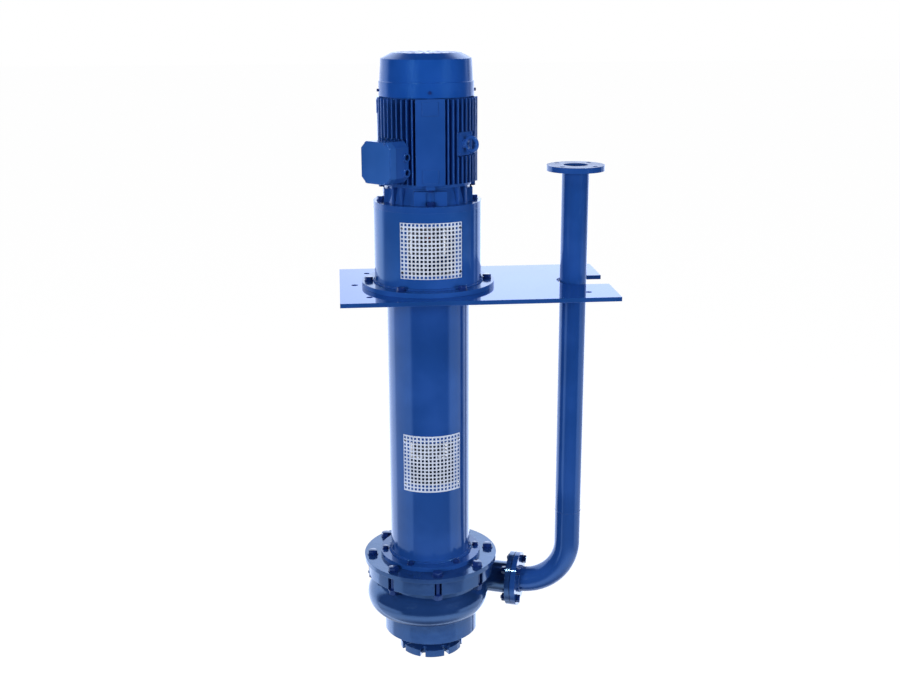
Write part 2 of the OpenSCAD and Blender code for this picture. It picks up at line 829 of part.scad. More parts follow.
module terminal_box() {
    color("MediumBlue")
        box_place()
            difference() {
                union() {
                    octagon_block(box_back, box_split, box_width - 2, box_height - 2, 18);
                    for (z = [-32, 15])
                        translate([entry_x, box_width / 2 - 2, z]) rotate([-90, 0, 0]) cylinder(r = 13.5, h = 8);
                }
                octagon_block(box_back + 8, box_split + 1, box_width - 18, box_height - 18, 14);
                translate([box_back - 1, 0, 0]) rotate([0, 90, 0]) cylinder(r = 22, h = 12);
                for (z = [-32, 15])
                    translate([entry_x, box_width / 2 - 9.1, z])
                        rotate([-90, 0, 0]) cylinder(d = entry_dia, h = 20);
                lid_screw_places() translate([0, 0, box_split - 20]) cylinder(r = 2.25, h = 21);
            }
}

module terminal_box_lid() {
    color("MediumBlue")
        box_place()
            difference() {
                union() {
                    octagon_block(box_split, lid_reach - 4, box_width, box_height, 19);
                    octagon_block(lid_reach - 4, lid_reach, box_width - 4, box_height - 4, 18.5);
                }
                octagon_block(box_split - 1, lid_reach - 6, box_width - 18, box_height - 18, 14);
                lid_screw_places() translate([0, 0, box_split - 1]) cylinder(r = 2.25, h = 40);
            }
}

module terminal_lid_screws() {
    color("Gainsboro")
        box_place()
            lid_screw_places() {
                disc(2.2, box_split - 14, lid_reach);
                disc(3.5, lid_reach, lid_reach + 2.5);
            }
}

module terminal_board() {
    color("Sienna")
        box_place()
            difference() {
                translate([box_back + 8, -40, -26]) cube([12, 80, 52]);
                translate([box_back + 7, 0, 0]) rotate([0, 90, 0]) cylinder(r = 6, h = 20);
                for (y = [-26, 0, 26])
                    for (z = [-15, 15])
                        translate([box_back + 12, y, z]) rotate([0, 90, 0]) cylinder(r = 2.5, h = 20);
            }
}

module terminal_studs() {
    color("Gold")
        box_place()
            for (y = [-26, 0, 26])
                for (z = [-15, 15])
                    translate([box_back + 12, y, z]) rotate([0, 90, 0]) {
                        cylinder(r = 2.5, h = 24);
                        translate([0, 0, 8]) cylinder(r = 4.6, h = 4, $fn = 6);
                    }
}

module lifting_eyebolt() {
    color("DarkSlateBlue")
        rotate([0, 0, -45])
            translate([eye_pad, 0, eyebolt_z]) {
                rotate([0, 90, 0]) cylinder(r = 15, h = 6);
                translate([-17, 0, 0]) rotate([0, 90, 0]) cylinder(r = 5.9, h = 18);
                translate([5, 0, 0]) rotate([0, 90, 0]) cylinder(r1 = 11, r2 = 7, h = 8);
                translate([28, 0, 0]) rotate([90, 0, 0]) rotate_extrude() translate([21, 0]) circle(r = 6);
            }
}

// Motor rotor
module motor_shaft() {
    color("LightSteelBlue") {
        disc(motor_shaft_dia / 2, flange_face - 110, flange_face - 8);
        disc(22.5, flange_face - 8, de_bearing_z + 26);
        disc(30, de_bearing_z + 26, nde_bearing_z - 6);
        disc(20, nde_bearing_z - 6, nde_bearing_z + 20);
        disc(15, nde_bearing_z + 20, cowl_top - 30);
    }
}

module rotor_core() {
    color("DarkGray") {
        tube(74.4, 30, core_bottom, core_top);
        tube(70, 46, core_bottom - 15, core_bottom);
        tube(70, 46, core_top, core_top + 15);
    }
}

module cooling_fan() {
    low = nde_bearing_z + 32;
    color("DimGray") {
        tube(30, 15, low - 4, low + 34);
        tube(120, 29, low, low + 4);
        for (i = [0:8])
            rotate([0, 0, i * 40]) translate([29, -2, low + 3]) cube([90, 4, 40]);
    }
}

module motor_bearing_inner_rings() {
    color("LightSteelBlue") {
        bearing_inner(22.5, 50, de_bearing_z, 25);
        bearing_inner(20, 40, nde_bearing_z, 18);
    }
}

// Jaw coupling
module sectors(count, start, half_angle, inner, outer, low, high) {
    for (i = [0:count - 1])
        rotate([0, 0, start + i * 360 / count - half_angle])
            rotate_extrude(angle = 2 * half_angle) translate([inner, low]) square([outer - inner, high - low]);
}

module jaws(low, high, start) {
    sectors(3, start, 17, coupling_r * 0.52, coupling_r - 1, low, high);
}

module coupling_upper_hub() {
    color("Gainsboro") {
        tube(coupling_r, motor_shaft_dia / 2, jaw_top, coupling_top);
        jaws(jaw_bottom + 1, jaw_top + 3, 60);
    }
}

module coupling_lower_hub() {
    color("Gainsboro")
        difference() {
            union() {
                tube(coupling_r, shaft_r, coupling_bottom, jaw_bottom);
                jaws(jaw_bottom - 3, jaw_top - 1, 0);
            }
            translate([0, 0, coupling_bottom + 15]) rotate([0, 90, 0]) cylinder(r = 4, h = 60);
        }
}

module coupling_spider() {
    color("Firebrick")
        difference() {
            union() {
                disc(coupling_r * 0.5, jaw_bottom + 2.2, jaw_top - 1);
                sectors(6, 30, 12, coupling_r * 0.48, coupling_r - 2, jaw_bottom + 1.2, jaw_top);
            }
            disc(motor_shaft_dia / 2 + 2, jaw_bottom, jaw_top + 1);
        }
}

// Pump rotor
module drive_shaft() {
    color("LightSteelBlue") disc(shaft_r, muff_middle + 1, drive_shaft_top);
}

module pump_shaft() {
    color("LightSteelBlue") {
        disc(shaft_r, impeller_top, muff_middle - 1);
        disc(17, impeller_top - 60, impeller_top);
    }
}

module muff_coupling() {
    color("Gainsboro")
        difference() {
            tube(muff_dia / 2, shaft_r, muff_bottom, muff_top);
            for (y = [-1, 1])
                translate([y > 0 ? 0 : -80, -0.8, muff_bottom - 1]) cube([80, 1.6, muff_length + 2]);
            muff_places() cylinder(r = 5.1, h = 120, center = true);
            muff_places() translate([0, 0, 24]) cylinder(r = 9, h = 60);
            muff_places() translate([0, 0, -84]) cylinder(r = 10, h = 60);
        }
}

module muff_places() {
    for (x = [-1, 1])
        for (z = [-0.3, 0, 0.3])
            translate([x * (shaft_r + muff_dia / 2) / 2, 0, muff_middle + z * muff_length])
                rotate([90, 0, 0]) children();
}

module muff_screws() {
    color("DarkSlateBlue")
        muff_places() {
            translate([0, 0, 24]) cylinder(r = 8, h = 10);
            translate([0, 0, -32]) cylinder(r = 5, h = 57);
            translate([0, 0, -32]) cylinder(r = 9, h = 8, $fn = 6);
        }
}

module bearing_housing() {
    color("MediumBlue")
        difference() {
            union() {
                disc(104, plate_top, plate_top + 16);
                disc(75, -150, plate_top);
            }
            disc(50, upper_bearing_z - 25, plate_top + 17);
            disc(46, -151, plate_top);
            disc(50, lower_bearing_z - 25, lower_bearing_z);
            disc(50, -151, lower_bearing_z - 20);
            around(6, 92, 30) disc(5, plate_top - 1, plate_top + 17);
            around(4, 64, 45) disc(3, plate_top + 2, plate_top + 17);
        }
}

module bearing_housing_screws() {
    color("DarkSlateBlue") {
        around(6, 92, 30)
            translate([0, 0, plate_top + 16]) {
                hex(16, 0, 6.4);
                disc(4.9, -26, 0);
            }
        around(4, 64, 45)
            translate([0, 0, plate_top + 22]) {
                hex(10, 0, 4);
                disc(2.9, -16, 0);
            }
    }
}

module bearing_cover() {
    color("MediumBlue")
        difference() {
            union() {
                disc(72, plate_top + 16, plate_top + 22);
                disc(50, upper_bearing_z, plate_top + 16);
            }
            disc(shaft_r + 1, upper_bearing_z - 1, plate_top + 23);
            disc(42, upper_bearing_z - 1, plate_top + 14);
            around(4, 64, 45) disc(3.2, plate_top + 15, plate_top + 23);
        }
}

module pump_bearing_outer_rings() {
    color("LightSteelBlue") {
        bearing_outer(50, upper_bearing_z - 25, 25);
        bearing_outer(50, lower_bearing_z - 25, 25);
        bearing_outer(50, tail_bearing_z, 25);
    }
}

module pump_bearing_inner_rings() {
    color("LightSteelBlue") {
        bearing_inner(shaft_r, 50, upper_bearing_z - 25, 25);
        bearing_inner(shaft_r, 50, lower_bearing_z - 25, 25);
        bearing_inner(shaft_r, 50, tail_bearing_z, 25);
    }
}

module bearing_lock_nut() {
    color("Gray") {
        tube(33, shaft_r, upper_bearing_z, upper_bearing_z + 9);
        tube(31, shaft_r, lower_bearing_z, upper_bearing_z - 25);
    }
}

module tail_bearing_housing() {
    color("MediumBlue")
        difference() {
            union() {
                disc(column_bore_r, tail_bearing_z - 6, tail_bearing_z + 12);
                disc(64, tail_bearing_z - 10, tail_bearing_z + 34);
            }
            disc(50, tail_bearing_z, tail_bearing_z + 35);
            disc(shaft_r + 6, tail_bearing_z - 11, tail_bearing_z + 1);
            around(6, 96) disc(18, tail_bearing_z - 7, tail_bearing_z + 13);
        }
}

// Shaft seal
module shaft_sleeve() {
    color("Gainsboro") tube(27.4, shaft_r, impeller_top, stuffing_top + 24);
}

module packing_rings() {
    color("Khaki")
        for (i = [0:4])
            tube(40, 27.7, stuffing_top - 90 + i * 12.5, stuffing_top - 77.8 + i * 12.5);
}

module gland_follower() {
    color("Peru")
        difference() {
            union() {
                disc(40, stuffing_top - 27.5, stuffing_top + 6);
                disc(59, stuffing_top + 6, stuffing_top + 16);
            }
            disc(28, stuffing_top - 29, stuffing_top + 17);
            around(2, 50, 90 - nozzle_turn) disc(5.5, stuffing_top + 5, stuffing_top + 17);
        }
}

module gland_studs() {
    color("DarkSlateBlue")
        around(2, 50, 90 - nozzle_turn) {
            disc(4.9, stuffing_top - 25, stuffing_top + 30);
            hex(15, stuffing_top + 16, stuffing_top + 24);
        }
}

// Closed impeller, eye downwards
module impeller() {
    back = impeller_top - 8;
    front = back - 28;
    color("Peru")
        difference() {
            union() {
                disc(impeller_r, back, impeller_top);
                disc(impeller_r, front - 7, front);
                disc(eye_ring_r, front - 26, front - 7);
                disc(34, back - 36, back);
                intersection() {
                    tube(impeller_r - 1, 30, front - 1, back + 1);
                    for (i = [0:5])
                        rotate([0, 0, i * 60])
                            translate([0, -86, front - 1])
                                difference() {
                                    cylinder(r = 86, h = 30);
                                    translate([0, 0, -1]) cylinder(r = 80, h = 32);
                                    translate([-200, -200, -2]) cube([200, 400, 34]);
                                }
                }
            }
            disc(17, back - 80, impeller_top + 1);
            tube(60, 34, front - 27, front);
            disc(60, front - 27, back - 36);
        }
}

module impeller_nut() {
    low = impeller_top - 58;
    color("Gray")
        difference() {
            union() {
                disc(22, low, impeller_top - 44);
                hex(36, low - 10, low);
            }
            disc(17, low - 11, impeller_top);
        }
}

mounting_plate();
motor_stool();
stool_guards();
stool_guard_screws();
stool_bolts();
column();
column_guards();
column_guard_screws();
column_flange_bolts();
casing_cover();
cover_gasket();
cover_bolts();
volute_casing();
wear_ring();
discharge_gasket();
discharge_bolts();
discharge_elbow();
riser_pipe();
drive_end_shield();
motor_flange_bolts();
motor_frame();
stator_core();
stator_windings();
fan_end_shield();
shield_screws();
fan_cowl();
cowl_screws();
motor_bearing_outer_rings();
terminal_box();
terminal_box_lid();
terminal_lid_screws();
terminal_board();
terminal_studs();
lifting_eyebolt();
motor_shaft();
rotor_core();
cooling_fan();
motor_bearing_inner_rings();
coupling_upper_hub();
coupling_spider();
coupling_lower_hub();
drive_shaft();
muff_coupling();
muff_screws();
pump_shaft();
bearing_housing();
bearing_housing_screws();
bearing_cover();
pump_bearing_outer_rings();
pump_bearing_inner_rings();
bearing_lock_nut();
tail_bearing_housing();
packing_rings();
gland_follower();
gland_studs();
shaft_sleeve();
impeller();
impeller_nut();
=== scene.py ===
# %% [markdown]
# # A vertical sump pump, dressed for its portrait
# The pump hangs from a slotted plate: a finned motor on a stool above it, and below it a long
# column, a volute casing and the discharge line that climbs back up through the slot.
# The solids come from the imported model, in metres, with +Z up along the shaft. This lesson
# gives them their finishes, builds the pieces that need finer shapes, and lights the whole.

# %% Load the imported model
import json
import math

import bmesh
import bpy
from mathutils import Matrix, Vector


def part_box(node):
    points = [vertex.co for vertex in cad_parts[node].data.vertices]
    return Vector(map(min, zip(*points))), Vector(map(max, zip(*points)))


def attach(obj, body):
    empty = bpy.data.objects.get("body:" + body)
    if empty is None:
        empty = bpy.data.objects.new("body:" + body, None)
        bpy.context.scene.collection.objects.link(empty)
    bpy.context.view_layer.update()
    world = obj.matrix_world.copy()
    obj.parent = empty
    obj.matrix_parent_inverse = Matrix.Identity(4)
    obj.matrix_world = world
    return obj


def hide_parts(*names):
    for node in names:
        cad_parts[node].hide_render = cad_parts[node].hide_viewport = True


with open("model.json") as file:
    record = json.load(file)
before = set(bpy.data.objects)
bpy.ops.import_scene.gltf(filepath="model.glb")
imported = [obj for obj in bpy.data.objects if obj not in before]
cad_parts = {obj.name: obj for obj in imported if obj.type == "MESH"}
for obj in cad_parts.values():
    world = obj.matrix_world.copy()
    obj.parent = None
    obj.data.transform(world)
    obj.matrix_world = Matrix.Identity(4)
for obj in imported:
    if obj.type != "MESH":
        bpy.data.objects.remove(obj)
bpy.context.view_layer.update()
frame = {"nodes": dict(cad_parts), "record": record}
nodes = frame["nodes"]
bodies = frame["record"]["behaviour"]["bodies"]
body_of_node = {node: body for body, members in bodies.items() for node in members}
slot_of_node = {row["node"]: row["material_slot"] for row in frame["record"]["subparts"]}

# %% [markdown]
# ## The camera
# The view was found from the pump itself: the ellipses of the flanges give the height and the
# tilt, the pipe's known diameter gives the distance. A 49 mm lens on a 36 mm sensor stands four
# metres in front and a little higher than the motor, turned five degrees to the right, and
# looks down by almost 16 degrees.

# %% Camera
EYE = Vector((-0.2816, -3.9582, 0.9005))
YAW, PITCH, ROLL = (math.radians(a) for a in (5.102, 15.698, -0.240))
FOCAL_MM = 49.14
SENSOR_MM = 36
SEES_TO = 200


def look(eye, yaw, pitch, roll):
    """Camera matrix that looks along +Y turned right by yaw and down by pitch."""
    ahead = Vector((math.sin(yaw) * math.cos(pitch), math.cos(yaw) * math.cos(pitch), -math.sin(pitch)))
    right = Vector((math.cos(yaw), -math.sin(yaw), 0))
    up = right.cross(ahead)
    turned_right = right * math.cos(roll) + up * math.sin(roll)
    turned_up = up * math.cos(roll) - right * math.sin(roll)
    rows = Matrix((turned_right, turned_up, -ahead)).transposed().to_4x4()
    rows.translation = eye
    return rows


camera_data = bpy.data.cameras.new("camera")
camera_data.lens = FOCAL_MM
camera_data.sensor_width = SENSOR_MM
camera_data.clip_end = SEES_TO
camera = bpy.data.objects.new("camera", camera_data)
camera.matrix_world = look(EYE, YAW, PITCH, ROLL)
bpy.context.scene.collection.objects.link(camera)
bpy.context.scene.camera = camera
bpy.context.scene.view_settings.view_transform = "Standard"
print("camera at", tuple(round(v, 3) for v in EYE))

# %% [markdown]
# ## Shader maths as plain sums
# A material's pattern is arithmetic on noise, so a small class lets sums be written as sums.
# `Wire` wraps a socket, and adding or multiplying wires adds the Math nodes. `Net.node` makes
# any other node: its settings first, then the values or links of its sockets.


# %% Wires
class Wire:
    """A number socket that can stand in a sum."""

    def __init__(self, net, socket):
        self.net, self.socket = net, socket

    def math(self, operation, other=None, swap=False):
        pair = [self] if other is None else [other, self] if swap else [self, other]
        return self.net.node("ShaderNodeMath", {"operation": operation}, dict(enumerate(pair)))

    def __add__(self, other):
        return self.math("ADD", other)

    def __radd__(self, other):
        return self.math("ADD", other)

    def __sub__(self, other):
        return self.math("SUBTRACT", other)

    def __rsub__(self, other):
        return self.math("SUBTRACT", other, True)

    def __mul__(self, other):
        return self.math("MULTIPLY", other)

    def __rmul__(self, other):
        return self.math("MULTIPLY", other)

    def __truediv__(self, other):
        return self.math("DIVIDE", other)

    def __rtruediv__(self, other):
        return self.math("DIVIDE", other, True)

    def between(self, low, high):
        """0 below low, 1 above high, smooth in between."""
        return self.net.node("ShaderNodeMapRange", {"interpolation_type": "SMOOTHSTEP"},
                             {"Value": self, "From Min": low, "From Max": high})


# %% Nets of nodes
class Net:
    """A node tree and the few methods that add nodes to it."""

    def __init__(self, tree):
        self.tree = tree
        tree.nodes.clear()

    def feed(self, socket, value):
        """Link a wire to a socket, or set the socket's own value."""
        if isinstance(value, Wire):
            self.tree.links.new(value.socket, socket)
        else:
            socket.default_value = value

    def node(self, kind, settings=None, values=None, out=0):
        """A node of any kind, as the wire of one of its outputs."""
        made = self.tree.nodes.new(kind)
        for key, value in (settings or {}).items():
            setattr(made, key, value)
        for key, value in (values or {}).items():
            self.feed(made.inputs[key], value)
        return Wire(self, made.outputs[out]) if len(made.outputs) else None

    def axes(self, point):
        """The three numbers of a point, as wires."""
        split = self.tree.nodes.new("ShaderNodeSeparateXYZ")
        self.feed(split.inputs[0], point)
        return [Wire(self, socket) for socket in split.outputs]

    def place(self, scale=(1, 1, 1)):
        """Object coordinates, stretched by scale."""
        point = self.node("ShaderNodeTexCoord", out="Object")
        if scale == (1, 1, 1):
            return point
        return self.node("ShaderNodeMapping", {}, {"Vector": point, "Scale": scale})

    def noise(self, scale, detail=2.0, stretch=(1, 1, 1), rough=0.5):
        """Noise on Object coordinates, with this many cells to a metre."""
        values = {"Vector": self.place(stretch), "Scale": scale, "Detail": detail, "Roughness": rough}
        return self.node("ShaderNodeTexNoise", {}, values)

    def blend(self, share, first, second):
        """Colour between first and second."""
        made = self.tree.nodes.new("ShaderNodeMix")
        made.data_type = "RGBA"
        for slot, value in ((0, share), (6, first), (7, second)):
            self.feed(made.inputs[slot], (*value, 1) if isinstance(value, tuple) else value)
        return Wire(self, made.outputs[2])

    def rounded(self, radius):
        """Normal of the surface as if its edges were rounded."""
        return self.node("ShaderNodeBevel", {"samples": 4}, {"Radius": radius})

    def bump(self, height, distance, under=None):
        """Normal of a surface with this height on it, over the normal that lies under."""
        values = {"Height": height, "Distance": distance, "Strength": 1.0}
        if under:
            values["Normal"] = under
        return self.node("ShaderNodeBump", {}, values)

    def surface(self, **sockets):
        """The finished shader, wired to the output."""
        named = {key.replace("_", " "): value for key, value in sockets.items()}
        shader = self.node("ShaderNodeBsdfPrincipled", {}, named)
        self.node("ShaderNodeOutputMaterial", {}, {"Surface": shader})


# %% Colours and new materials
def linear(red, green, blue):
    """A colour on a paint card, 0 to 255, as the linear values that a shader takes."""
    shares = [level / 255 for level in (red, green, blue)]
    return tuple(s / 12.92 if s < 0.04 else ((s + 0.055) / 1.055) ** 2.4 for s in shares)


def shade(colour, factor, lift=0.0):
    """A colour made paler or darker, at most white."""
    return tuple(min(1.0, c * factor + lift) for c in colour)


def new_finish(name):
    """An empty material and the net of its nodes."""
    material = bpy.data.materials.new(name)
    material.use_nodes = True
    return material, Net(material.node_tree)


print("shader helpers ready")

# %% [markdown]
# ## Blue enamel
# On the motor's fins the paler edge is turned up, and there it is a painted highlight for glints.
# The paint is what the eye meets first: a deep blue two-pack enamel, wet-looking on the rolled
# pipe and the plate, a little coarser on the castings. It is one recipe with few numbers: the
# colour, how much the skin of the metal shows through, and how sharp the gloss is. Orange peel
# is a fine noise of three millimetres, the sand skin of a casting is a coarser one, and the
# volute also has shallow waves under its paint, which bend what it mirrors. Edges are rounded
# by the Bevel node, and there the paint pulls thin, so it turns a shade paler.
#
# The casing has one thing more. Below the volute the paint is paler, with a slightly uneven line
# between the two tones. The two tones are painted light and shade on the lower casing.

# %% Enamel recipe
PEEL_SCALE = 330.0
SAND_SCALE = 120.0
WAVE_SCALE = 26.0
CLOUD_SCALE = 5.0
SMEAR_SCALE = 22.0
WEAR_AND_GLINT_SCALE = 60.0
WEAR_AND_GLINT_PALER = 1.5
PAINTED_FOOT_LIGHT = 1.38
PAINTED_STEP_FADE = 0.012
PAINTED_STEP_WANDER = 0.02


def enamel(name, colour, gloss=0.09, peel=0.00003, sand=0.0, edge=0.0015, index=1.75, coat=0.1,
           cloudy=0.1, waves=0.0, painted_tone_step=None, tint=(0.36, 0.66, 1.0), edge_wear_and_glint=0.5):
    """Paint on metal: first its tones, then the skin under it, then its gloss."""
    material, net = new_finish(name)
    clouds = net.noise(CLOUD_SCALE, 3.0).between(0.35, 0.65)
    tone = net.blend(clouds, shade(colour, 1 - cloudy), shade(colour, 1 + cloudy, 0.004))
    round_normal = net.rounded(edge)
    true_normal = net.node("ShaderNodeNewGeometry", out="True Normal")
    facing = net.node("ShaderNodeVectorMath", {"operation": "DOT_PRODUCT"},
                      {0: round_normal, 1: true_normal}, out="Value")
    # Paler edges: thinned paint, and where turned up, as on the motor's fins, a painted highlight.
    thin_paint_and_glint = (1 - facing).between(0.02, 0.3) * net.noise(WEAR_AND_GLINT_SCALE, 2.0).between(0.3, 0.6)
    tone = net.blend(thin_paint_and_glint * edge_wear_and_glint, tone, shade(colour, WEAR_AND_GLINT_PALER, 0.02))
    # Painted light and shade: below the step the colour turns paler, along a line that wanders a little.
    if painted_tone_step:
        height = net.axes(net.place())[2] + net.noise(18.0, 3.0) * PAINTED_STEP_WANDER
        foot = 1 - height.between(painted_tone_step - PAINTED_STEP_FADE, painted_tone_step + PAINTED_STEP_FADE)
        tone = net.blend(foot, tone, shade(colour, PAINTED_FOOT_LIGHT))
    bumped = net.bump(net.noise(PEEL_SCALE, 1.0), peel, round_normal)
    if waves:
        bumped = net.bump(net.noise(WAVE_SCALE, 2.0), waves, bumped)
    if sand:
        bumped = net.bump(net.noise(SAND_SCALE, 4.0, rough=0.6), sand, bumped)
    smear = net.noise(SMEAR_SCALE, 4.0).between(0.3, 0.75)
    net.surface(Base_Color=tone, Roughness=gloss + smear * gloss * 0.7, IOR=index,
                Specular_Tint=(*tint, 1), Normal=bumped, Coat_Weight=coat, Coat_Roughness=0.03,
                Coat_IOR=1.5)
    return material


# %% [markdown]
# ## The blues of the pump
# The photograph shows one paint, yet each casting, pipe and sheet takes it differently. So the
# recipe is mixed once for each kind of surface: the plate mirrors most, the casing is darker, a
# painted shade, and wavy, the motor's fins are paler on their edges, partly rubbed and partly a
# painted highlight for their glints, the cowl is pressed sheet with a softer gloss, the weld beads
# are the wettest, and the bolts are a dark navy.

# %% Enamels
FINISHES = {
    "blue_enamel": enamel("blue_enamel", linear(29, 72, 147)),
    "plate_enamel": enamel("plate_enamel", linear(26, 74, 150), gloss=0.05, index=3.2, coat=0.3,
                           tint=(0.44, 0.59, 1.0)),
    # The casing's darker blue is painted shade; its paler foot below the step is painted light.
    "casing_enamel": enamel("casing_enamel", linear(26, 58, 115), gloss=0.10, sand=0.00007,
                            edge=0.0025, index=2.1, waves=0.0008, painted_tone_step=-1.168),
    # The motor's paler edges are partly wear and partly a painted highlight for glints on the fins.
    "motor_enamel": enamel("motor_enamel", linear(28, 72, 148), gloss=0.13, sand=0.00012,
                           edge=0.002, index=1.7, edge_wear_and_glint=1.0),
    "cowl_enamel": enamel("cowl_enamel", linear(17, 69, 152), gloss=0.16, peel=0.00005,
                          edge=0.002, index=1.6, coat=0.0, tint=(0.2, 0.6, 1.0)),
    "navy_enamel": enamel("navy_enamel", linear(16, 42, 106), gloss=0.05, edge=0.0012,
                          cloudy=0.2, coat=0.2),
    "stool_enamel": enamel("stool_enamel", linear(29, 74, 149), coat=0.0, tint=(0.22, 0.62, 1.0)),
    "lid_enamel": enamel("lid_enamel", linear(38, 86, 162), gloss=0.13, sand=0.00012,
                         edge=0.002, index=1.7),
    "bead_enamel": enamel("bead_enamel", linear(26, 70, 146), gloss=0.04, edge=0.0006,
                          index=2.0, coat=0.8),
}
print("enamels:", ", ".join(FINISHES))

# %% [markdown]
# ## Bare metal
# Only a few pieces go unpainted. The guards are rolled stainless sheet: the rolling leaves fine
# lines that run one way, so the noise is stretched along them and drives both the roughness and
# a faint bump. The sheet reads pale rather than like a mirror, so it is set only partly
# metallic. Turned, ground and cast pieces inside differ in the stretch, the roughness and the
# colour.

# %% Metal recipe
PATCH_SCALE = 14.0
ROUND_THE_SHAFT = (0.05, 0.05, 1)


def metal(name, colour, rough=0.3, stretch=(1, 1, 1), scale=300.0, relief=0.00002, edge=0.0008,
          tarnish=0.15, metallic=1.0):
    """Bare metal, whose grain can be stretched into lines."""
    material, net = new_finish(name)
    grain = net.noise(scale, 3.0, stretch)
    patch = net.noise(PATCH_SCALE, 3.0)
    tone = net.blend(patch.between(0.35, 0.7), colour, shade(colour, 1 - tarnish))
    roughness = rough + (grain - 0.5) * 0.25 * rough + patch * 0.06
    net.surface(Base_Color=tone, Metallic=metallic, Roughness=roughness,
                Normal=net.bump(grain, relief, net.rounded(edge)))
    return material


FINISHES.update({
    # The sheet's cool blue tint is painted sheen, standing for the bluish light that it mirrors.
    "stainless_sheet": metal("stainless_sheet", (0.75, 0.83, 1.0), rough=0.36,
                             stretch=(1, 1, 0.03), scale=900.0, metallic=0.3),
    "bright_screw_steel": metal("bright_screw_steel", (0.78, 0.79, 0.82), rough=0.22, scale=500.0),
    "bearing_steel": metal("bearing_steel", (0.80, 0.81, 0.83), rough=0.08, tarnish=0.05),
    "shaft_steel": metal("shaft_steel", (0.62, 0.63, 0.65), rough=0.2, stretch=ROUND_THE_SHAFT,
                         scale=900.0),
    "hub_steel": metal("hub_steel", (0.55, 0.56, 0.58), stretch=ROUND_THE_SHAFT, scale=700.0),
    "screw_steel": metal("screw_steel", (0.42, 0.43, 0.45), rough=0.35),
    "bronze": metal("bronze", (0.68, 0.44, 0.20), rough=0.32, scale=160.0, relief=0.00008),
    "brass_studs": metal("brass_studs", (0.80, 0.62, 0.26), rough=0.25),
    "lamination_steel": metal("lamination_steel", (0.24, 0.24, 0.26), rough=0.5,
                              stretch=(0.02, 0.02, 1), scale=1400.0),
})
print("finishes so far:", len(FINISHES))

# %% [markdown]
# ## Rubber, winding wire, packing and mouldings
# These hide inside the pump, but someone may open it. Each gets the pattern of its own stuff:
# wire lies in rings, packing is a square braid, mouldings have a fine matt grain.


# %% Soft and moulded finishes
def moulding(name, colour, rough=0.6):
    """Rubber or plastic with a fine matt grain."""
    material, net = new_finish(name)
    grain = net.noise(400.0, 3.0)
    tone = net.blend(net.noise(30.0, 3.0).between(0.3, 0.7), colour, shade(colour, 1.3, 0.004))
    net.surface(Base_Color=tone, Roughness=rough + grain * 0.15,
                Normal=net.bump(grain, 0.00004, net.rounded(0.0008)))
    return material


def ringed(name, colour, dark, pitch, rough, metallic=0.0):
    """Rings or plaits that lie level, one above the other."""
    material, net = new_finish(name)
    height = net.axes(net.place())[2]
    wave = (height * (2 * math.pi / pitch)).math("SINE") * 0.5 + 0.5
    lay = wave + net.noise(200.0, 2.0) * 0.3
    net.surface(Base_Color=net.blend(lay.between(0.1, 0.8), dark, colour), Roughness=rough,
                Metallic=metallic, Normal=net.bump(lay, pitch * 0.25))
    return material


FINISHES.update({
    "gasket_rubber": moulding("gasket_rubber", (0.012, 0.012, 0.014)),
    "spider_rubber": moulding("spider_rubber", (0.30, 0.02, 0.012), rough=0.5),
    "moulded_board": moulding("moulded_board", (0.09, 0.03, 0.014), rough=0.55),
    "fan_plastic": moulding("fan_plastic", (0.014, 0.014, 0.016)),
    "copper_wire": ringed("copper_wire", (0.42, 0.13, 0.04), (0.10, 0.03, 0.01), 0.0016, 0.35, 0.8),
    "packing_yarn": ringed("packing_yarn", (0.34, 0.28, 0.17), (0.12, 0.09, 0.05), 0.003, 0.9),
})

for name, solid in nodes.items():
    solid.data.materials.clear()
    solid.data.materials.append(FINISHES[slot_of_node[name]])
print("solids finished:", len(nodes))

# %% [markdown]
# ## Bolts and nuts, skinned through rings of points
# The pump is bolted together in rings, and the solids carry plain prisms there. A real bolt
# head is a hexagon cut by a cone, which leaves an arc on each side, and its washer has a soft
# rim. So a bolt is built up as rings of points at rising heights, round ones and hexagonal ones
# with equal counts, and a skin is drawn over them.

# %% Skins through rings of points
MM = 0.001
STEPS = 36
ROD_STEPS = 24


def skin(rings):
    """Close a run of rings with equal counts into one solid."""
    count = len(rings[0])
    points = [point for ring in rings for point in ring]
    faces = []
    for row in range(len(rings) - 1):
        low, high = row * count, (row + 1) * count
        for i in range(count):
            after = (i + 1) % count
            faces.append([low + i, low + after, high + after, high + i])
    last = (len(rings) - 1) * count
    return points, faces + [list(range(count))[::-1], [last + i for i in range(count)]]


def ring(radius, z, steps=STEPS):
    """A circle of points, sized in millimetres and given in metres."""
    turns = [2 * math.pi * i / steps for i in range(steps)]
    return [(radius * MM * math.cos(t), radius * MM * math.sin(t), z * MM) for t in turns]


def turned(profile, steps=STEPS):
    """A turned solid from (radius, height) pairs in millimetres."""
    return skin([ring(radius, z, steps) for radius, z in profile])


# %% Heads, nuts, washers and threads
FLAT_SHARE = 0.475
CONE_SLOPE = 0.577


def hexagon(across, z, cone=0):
    """Hexagon ring. With cone 1 or -1 the corners drop or rise along a chamfer."""
    points = []
    for i in range(STEPS):
        turn = 2 * math.pi * i / STEPS
        reach = across / 2 / math.cos(turn % (math.pi / 3) - math.pi / 6)
        level = z - cone * (reach - across * FLAT_SHARE) * CONE_SLOPE
        points.append((reach * MM * math.cos(turn), reach * MM * math.sin(turn), level * MM))
    return points


def hexagon_solid(across, low, high, both=False):
    """Bolt head, or a nut when both ends are chamfered."""
    flat = across * FLAT_SHARE
    foot = [ring(flat, low), hexagon(across, low, -1)] if both else [hexagon(across, low)]
    return skin(foot + [hexagon(across, high, 1), ring(flat, high)])


def washer(radius, low, high):
    """A washer with half a millimetre off its rims."""
    return turned([(radius - 0.5, low), (radius, low + 0.5), (radius, high - 0.5), (radius - 0.5, high)])


